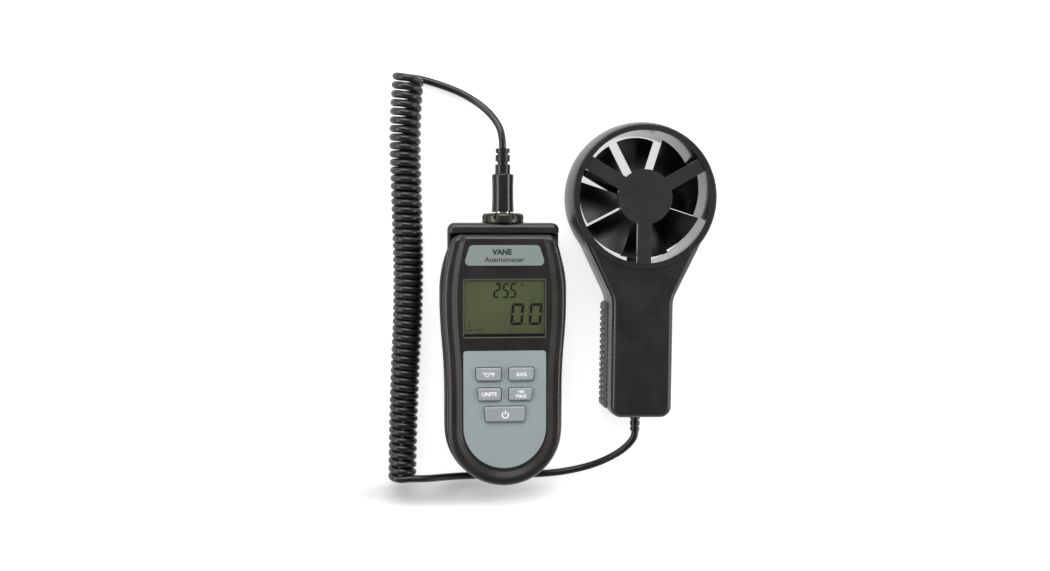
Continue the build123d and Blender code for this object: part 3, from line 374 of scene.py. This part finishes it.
def lcd_surface():
    """Olive reflective panel, with painted shading that makes it a little lighter towards its left, and its
    reflector's faint grain.
    """
    made = Surface("lcd_glass")
    low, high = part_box("lcd_module")
    parts = made.node("ShaderNodeSeparateXYZ")
    made.link(made.place, parts.inputs["Vector"])
    # painted shading: the panel's colour is lighter towards its left and darker towards its right
    lighter_left_painted_shade = made.scaled(parts.outputs["X"], 0.62, 0.38, low.x, high.x)
    total = made.node("ShaderNodeMath", operation="ADD")
    made.link(lighter_left_painted_shade, total.inputs[0])
    made.link(made.scaled(made.noise(0.016, 1.0), -0.12, 0.12), total.inputs[1])
    olive = made.between(total.outputs["Value"], shade(194, 203, 150), shade(210, 219, 164))
    made.link(olive, made.shader.inputs["Base Color"])
    made.bump(made.noise(0.00012, 2.0), 0.000004)
    made.set(Roughness=0.5)
    return made


def window_surface():
    """Clear flat window: what is behind it shows through, under a weak mirror reflection."""
    made = Surface("window_clear")
    made.tree.nodes.remove(made.shader)
    clear = made.node("ShaderNodeBsdfTransparent")
    clear.inputs["Color"].default_value = (0.93, 0.95, 0.92, 1)
    gloss = made.node("ShaderNodeBsdfGlossy")
    made.link(made.scaled(made.noise(0.004), 0.05, 0.09), gloss.inputs["Roughness"])
    fresnel = made.node("ShaderNodeFresnel")
    fresnel.inputs["IOR"].default_value = 1.45
    mixed = made.node("ShaderNodeMixShader")
    made.link(fresnel.outputs["Fac"], mixed.inputs["Fac"])
    made.link(clear.outputs["BSDF"], mixed.inputs[1])
    made.link(gloss.outputs["BSDF"], mixed.inputs[2])
    out = made.tree.nodes["Material Output"]
    made.link(mixed.outputs["Shader"], out.inputs["Surface"])
    return made


def jacket_surface():
    """Semi-gloss flexible jacket, with a fine grain and slight bloom."""
    made = Surface("cord_jacket")
    slow, fine = made.noise(0.006), made.noise(0.0004, 2.0)
    made.link(made.between(slow, shade(14, 13, 13), shade(20, 18, 18)), made.shader.inputs["Base Color"])
    made.link(made.scaled(slow, 0.3, 0.4), made.shader.inputs["Roughness"])
    made.bump(fine, 0.000008)
    return made


def ink(name, colour):
    """Printed ink, slightly uneven; the light ring round the display window uses it too, as a painted
    highlight.
    """
    made = Surface(name)
    thin = (*[v * 0.9 for v in colour[:3]], 1)
    made.link(made.between(made.noise(0.0006), colour, thin), made.shader.inputs["Base Color"])
    made.set(Roughness=0.5)
    return made


cord_jacket = jacket_surface()
name_film = film_surface("name_film", shade(122, 131, 128), shade(128, 137, 134))
keypad_film = film_surface("keypad_film", shade(138, 150, 149), shade(144, 156, 155))
white_ink = ink("white_ink", shade(236, 240, 240))
dark_ink = ink("dark_ink", shade(30, 38, 40))
# painted highlight: a light grey for the ring where the display window's bevel would catch the light
painted_bevel_highlight = ink("painted_bevel_highlight", shade(92, 92, 84))
segment_ink = ink("segment_ink", shade(20, 21, 12))
mark_ink = ink("mark_ink", shade(50, 54, 32))

KEYS = ("key_temperature", "key_average", "key_units", "key_min_max", "key_power")
paint(case_plastic, "rear_shell", "front_shell", "socket_panel", "battery_cover")
paint(probe_plastic, "probe_front_shell", "probe_rear_shell")
paint(guard_plastic, "front_guard", "rear_guard")
paint(blade_plastic, "impeller")
paint(grip_rubber, "grip_left", "grip_right")
paint(window_surface(), "lcd_window")
paint(lcd_surface(), "lcd_module")
paint(connector_surface(), "lcd_connector")
paint(name_film, "name_label")
paint(keypad_film, "keypad_label")
paint(mat_rubber, "keypad_mat")
paint(key_rubber, *KEYS)
paint(board_surface(), "main_pcb", "probe_pcb")
paint(chip_plastic, "pcb_components", "pickup_sensor", "temperature_sensor", "battery_snap")
paint(battery_jacket, "battery_9v")
paint(steel, "case_screws", "probe_screws", "front_bearing", "rear_bearing", "rotor_axle")
paint(nickel, "plug_shell")
paint(nut_metal, "socket_nut", "socket_body")
paint(insulator, "socket_insulator", "plug_insert")
paint(brass, "socket_contacts", "plug_pins")
paint(plug_plastic, "plug_body")
paint(magnet_metal, "rotor_magnet")
paint(cord_jacket, "plug_relief", "probe_relief", "lead")


# ---------- printed marks ----------
def finished_piece(name, shape, surface, body):
    """The piece that a bmesh holds, painted, riding on a body; the bmesh is used up."""
    data = bpy.data.meshes.new(name)
    shape.to_mesh(data)
    shape.free()
    made = bpy.data.objects.new(name, data)
    scene.collection.objects.link(made)
    data.materials.append(surface.material)
    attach(made, body)


def mesh_piece(name, build, surface, body):
    """A piece made by build(bmesh)."""
    shape = bmesh.new()
    build(shape)
    finished_piece(name, shape, surface, body)


def plate(shape, outline, low, high):
    """A flat plate with this outline between two heights."""
    bottom = [shape.verts.new((x, y, low)) for x, y in outline]
    top = [shape.verts.new((x, y, high)) for x, y in outline]
    shape.faces.new(top)
    shape.faces.new(bottom[::-1])
    for i in range(len(outline)):
        j = (i + 1) % len(outline)
        shape.faces.new((bottom[i], bottom[j], top[j], top[i]))


INK = 0.00003
# a capital's height as a share of the font's size
CAPITAL_SHARE = 0.73


def lettering(name, lines, surface, body, z, thicken=0.0):
    """Words as a thin raised print; each line is (words, centre x, centre y, capital height), in mm."""
    joined = bmesh.new()
    for words, x, y, height in lines:
        data = bpy.data.curves.new(name, "FONT")
        data.body = words
        data.size = height * MM / CAPITAL_SHARE
        data.align_x = "CENTER"
        data.extrude = INK / 2
        data.offset = thicken * MM
        data.resolution_u = 3
        holder = bpy.data.objects.new(name + "_text", data)
        scene.collection.objects.link(holder)
        mesh = evaluated_mesh(holder)
        mesh.transform(Matrix.Translation((x * MM, (y - height / 2) * MM, z + INK / 2)))
        joined.from_mesh(mesh)
        bpy.data.meshes.remove(mesh)
        bpy.data.objects.remove(holder)
    finished_piece(name, joined, surface, body)


name_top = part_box("name_label")[1].z
key_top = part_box("key_power")[1].z
lettering(
    "name_print", [("Anemometer", -0.2, 47.9, 2.6)], dark_ink, ROOT, name_top, 0.05
)
lettering("vane_print", [("VANE", -1.3, 51.6, 2.7)], dark_ink, ROOT, name_top, 0.17)
for key, lines in (
    ("key_temperature", [("°C/°F", -8.2, -8.85, 1.9)]),
    ("key_average", [("AVG", 8.1, -8.85, 1.9)]),
    ("key_units", [("UNITS", -7.8, -18.5, 1.9)]),
    ("key_min_max", [("MIN", 7.95, -17.45, 1.3), ("MAX", 7.9, -19.7, 1.8)]),
):
    lettering(key + "_legend", lines, white_ink, key, key_top, 0.09)


def power_mark(shape):
    """The usual on and off mark: an open ring with a bar in its gap."""
    centre_x, centre_y, outer, inner, gap = 0.1 * MM, -28.9 * MM, 1.85 * MM, 1.2 * MM, 38
    steps = 28
    ring = []
    for i in range(steps + 1):
        angle = radians(90 + gap + (360 - 2 * gap) * i / steps)
        ring.append((cos(angle), sin(angle)))
    low, high = key_top, key_top + INK
    for a, b in zip(ring, ring[1:]):
        corners = [(a, inner), (a, outer), (b, outer), (b, inner)]
        plate(shape, [(centre_x + r * c[0], centre_y + r * c[1]) for c, r in corners], low, high)
    half = 0.33 * MM
    foot, head = centre_y + 0.25 * MM, centre_y + 2.05 * MM
    left, right = centre_x - half, centre_x + half
    plate(shape, [(left, foot), (right, foot), (right, head), (left, head)], low, high)


mesh_piece("key_power_legend", power_mark, white_ink, "key_power")

# ---------- the display's digits ----------
SEGMENTS = {"0": "abcdef", "2": "abged", "5": "afgcd"}
lcd_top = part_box("lcd_module")[1].z


def digit(shape, which, x, y, width, height, stroke, slant):
    """One seven-segment figure with its lower left corner at x, y, in mm."""
    gap = stroke * 0.14
    half = height / 2
    s = stroke
    outlines = {
        "a": [(gap, height), (width - gap, height), (width - s - gap, height - s), (s + gap, height - s)],
        "d": [(gap, 0), (s + gap, s), (width - s - gap, s), (width - gap, 0)],
        "f": [(0, height - gap), (s, height - s - gap), (s, half + s / 2 + gap), (0, half + gap)],
        "b": [
            (width, height - gap), (width, half + gap), (width - s, half + s / 2 + gap),
            (width - s, height - s - gap),
        ],
        "e": [(0, gap), (0, half - gap), (s, half - s / 2 - gap), (s, s + gap)],
        "c": [(width, gap), (width - s, s + gap), (width - s, half - s / 2 - gap), (width, half - gap)],
        "g": [
            (gap + s / 2, half), (s + gap, half + s / 2), (width - s - gap, half + s / 2),
            (width - gap - s / 2, half), (width - s - gap, half - s / 2), (s + gap, half - s / 2),
        ],
    }
    for name in SEGMENTS[which]:
        outline = [((x + px + py * slant) * MM, (y + py) * MM) for px, py in outlines[name]]
        plate(shape, outline, lcd_top, lcd_top + INK)


def bar(shape, x0, y0, x1, y1):
    """A small upright rectangle of the display, its corners in mm."""
    corners = [(x0, y0), (x1, y0), (x1, y1), (x0, y1)]
    plate(shape, [(x * MM, y * MM) for x, y in corners], lcd_top, lcd_top + INK)


def display_digits(shape):
    """The upper reading of 25.5 and the large lower reading of 0.0."""
    for which, x in (("2", -5.7), ("5", -1.35), ("5", 2.35)):
        digit(shape, which, x, 28.75, 3.1, 7.3, 0.84, 0.12)
    for x in (2.75, 11.9):
        digit(shape, "0", x, 15.2, 6.2, 10.9, 1.35, 0.09)


def display_marks(shape):
    """Small marks: the decimal points, the degree sign, and two unit flags at the lower left."""
    bar(shape, 1.75, 28.7, 2.25, 29.25)
    bar(shape, 9.75, 15.2, 10.5, 15.95)
    for x0, y0, x1, y1 in (
        (8.5, 34.6, 9.3, 34.85), (8.5, 35.35, 9.3, 35.6), (8.35, 34.75, 8.6, 35.45), (9.2, 34.75, 9.45, 35.45),
        (-17.6, 16.6, -16.9, 17.1), (-17.6, 15.5, -16.9, 16.0), (-17.6, 14.4, -16.9, 14.9),
    ):
        bar(shape, x0, y0, x1, y1)
    for i in range(3):
        bar(shape, -18.3 + i * 0.95, 12.6, -17.7 + i * 0.95, 13.15)
    for i in range(4):
        bar(shape, -14.5 + i * 1.0, 12.75, -13.85 + i * 1.0, 13.3)


def painted_window_highlight(shape):
    """A painted highlight on the window's bevelled border, as a thin light ring just inside its outline."""
    low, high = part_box("lcd_window")
    inset, width, lift = 0.05 * MM, 0.5 * MM, 0.02 * MM
    x0, x1, y0, y1 = low.x + inset, high.x - inset, low.y + inset, high.y - inset
    for ax, ay, bx, by in (
        (x0, y0, x0 + width, y1), (x1 - width, y0, x1, y1),
        (x0 + width, y0, x1 - width, y0 + width), (x0 + width, y1 - width, x1 - width, y1),
    ):
        plate(shape, [(ax, ay), (bx, ay), (bx, by), (ax, by)], high.z, high.z + lift)


mesh_piece("painted_window_highlight", painted_window_highlight, painted_bevel_highlight, ROOT)
mesh_piece("display_digits", display_digits, segment_ink, ROOT)
mesh_piece("display_marks", display_marks, mark_ink, ROOT)


# ---------- floor and light ----------
FLOOR_GAP = 0.00005


def make_stage():
    """A white table that glows evenly, except in a soft patch of painted shadow along the near end of the coil
    and the meter, where it glows less.
    """
    data = bpy.data.meshes.new("floor")
    side = 3.0
    corners = [(-side, -side, 0), (side, -side, 0), (side, side, 0), (-side, side, 0)]
    data.from_pydata(corners, [], [(0, 1, 2, 3)])
    floor = bpy.data.objects.new("floor", data)
    scene.collection.objects.link(floor)
    made = Surface("floor_white")
    white = made.between(made.noise(0.3), (0.60, 0.60, 0.60, 1), (0.62, 0.62, 0.62, 1))
    made.link(white, made.shader.inputs["Base Color"])
    # painted shadow: a soft oval patch by the near ends of the coil and the meter, where the floor's emission
    # strength is turned down
    near = made.node("ShaderNodeMapping", vector_type="TEXTURE")
    near.inputs["Location"].default_value = (-0.028, -0.0735, 0.0)
    near.inputs["Scale"].default_value = (0.085, 0.0125, 1.0)
    made.link(made.place, near.inputs["Vector"])
    away = made.node("ShaderNodeVectorMath", operation="LENGTH")
    made.link(near.outputs["Vector"], away.inputs[0])
    glow_with_painted_shadow = made.node("ShaderNodeMapRange", interpolation_type="SMOOTHSTEP")
    for key, number in zip(("From Min", "From Max", "To Min", "To Max"), (0.25, 1.0, 0.12, 0.72)):
        glow_with_painted_shadow.inputs[key].default_value = number
    made.link(away.outputs["Value"], glow_with_painted_shadow.inputs["Value"])
    made.link(glow_with_painted_shadow.outputs["Result"], made.shader.inputs["Emission Strength"])
    made.set(Roughness=0.9, Specular_IOR_Level=0.1, Emission_Color=(1, 1, 1, 1))
    data.materials.append(made.material)
    floor.location.z = -FLOOR_GAP


def make_world():
    """A light tent: bright all round, dimmer straight above."""
    world = bpy.data.worlds.new("tent")
    world.use_nodes = True
    tree = world.node_tree
    place = tree.nodes.new("ShaderNodeTexCoord")
    parts = tree.nodes.new("ShaderNodeSeparateXYZ")
    ramp = tree.nodes.new("ShaderNodeValToRGB")
    ramp.color_ramp.elements[0].position, ramp.color_ramp.elements[0].color = 0.12, (1, 1, 1, 1)
    ramp.color_ramp.elements[1].position, ramp.color_ramp.elements[1].color = 0.6, (0.26, 0.26, 0.26, 1)
    tree.links.new(place.outputs["Generated"], parts.inputs["Vector"])
    tree.links.new(parts.outputs["Z"], ramp.inputs["Fac"])
    background = tree.nodes["Background"]
    tree.links.new(ramp.outputs["Color"], background.inputs["Color"])
    background.inputs["Strength"].default_value = 0.8
    scene.world = world


def area_light(name, place, aim, width, height, power):
    """A rectangular lamp at place, turned towards aim."""
    data = bpy.data.lights.new(name, "AREA")
    data.shape = "RECTANGLE"
    data.size, data.size_y = width, height
    data.energy = power
    made = bpy.data.objects.new(name, data)
    made.location = place
    made.rotation_euler = (Vector(aim) - Vector(place)).to_track_quat("-Z", "Y").to_euler()
    scene.collection.objects.link(made)


make_stage()
make_world()
area_light("key", (-0.10, 0.75, 0.60), (0.0, 0.02, 0.0), 0.9, 0.45, 9.0)
area_light("left", (-0.85, 0.05, 0.50), (0.0, 0.03, 0.0), 0.9, 0.22, 4.8)
area_light("right", (0.90, 0.05, 0.50), (0.0, 0.03, 0.0), 0.9, 0.22, 4.8)
scene.view_settings.view_transform = "Standard"
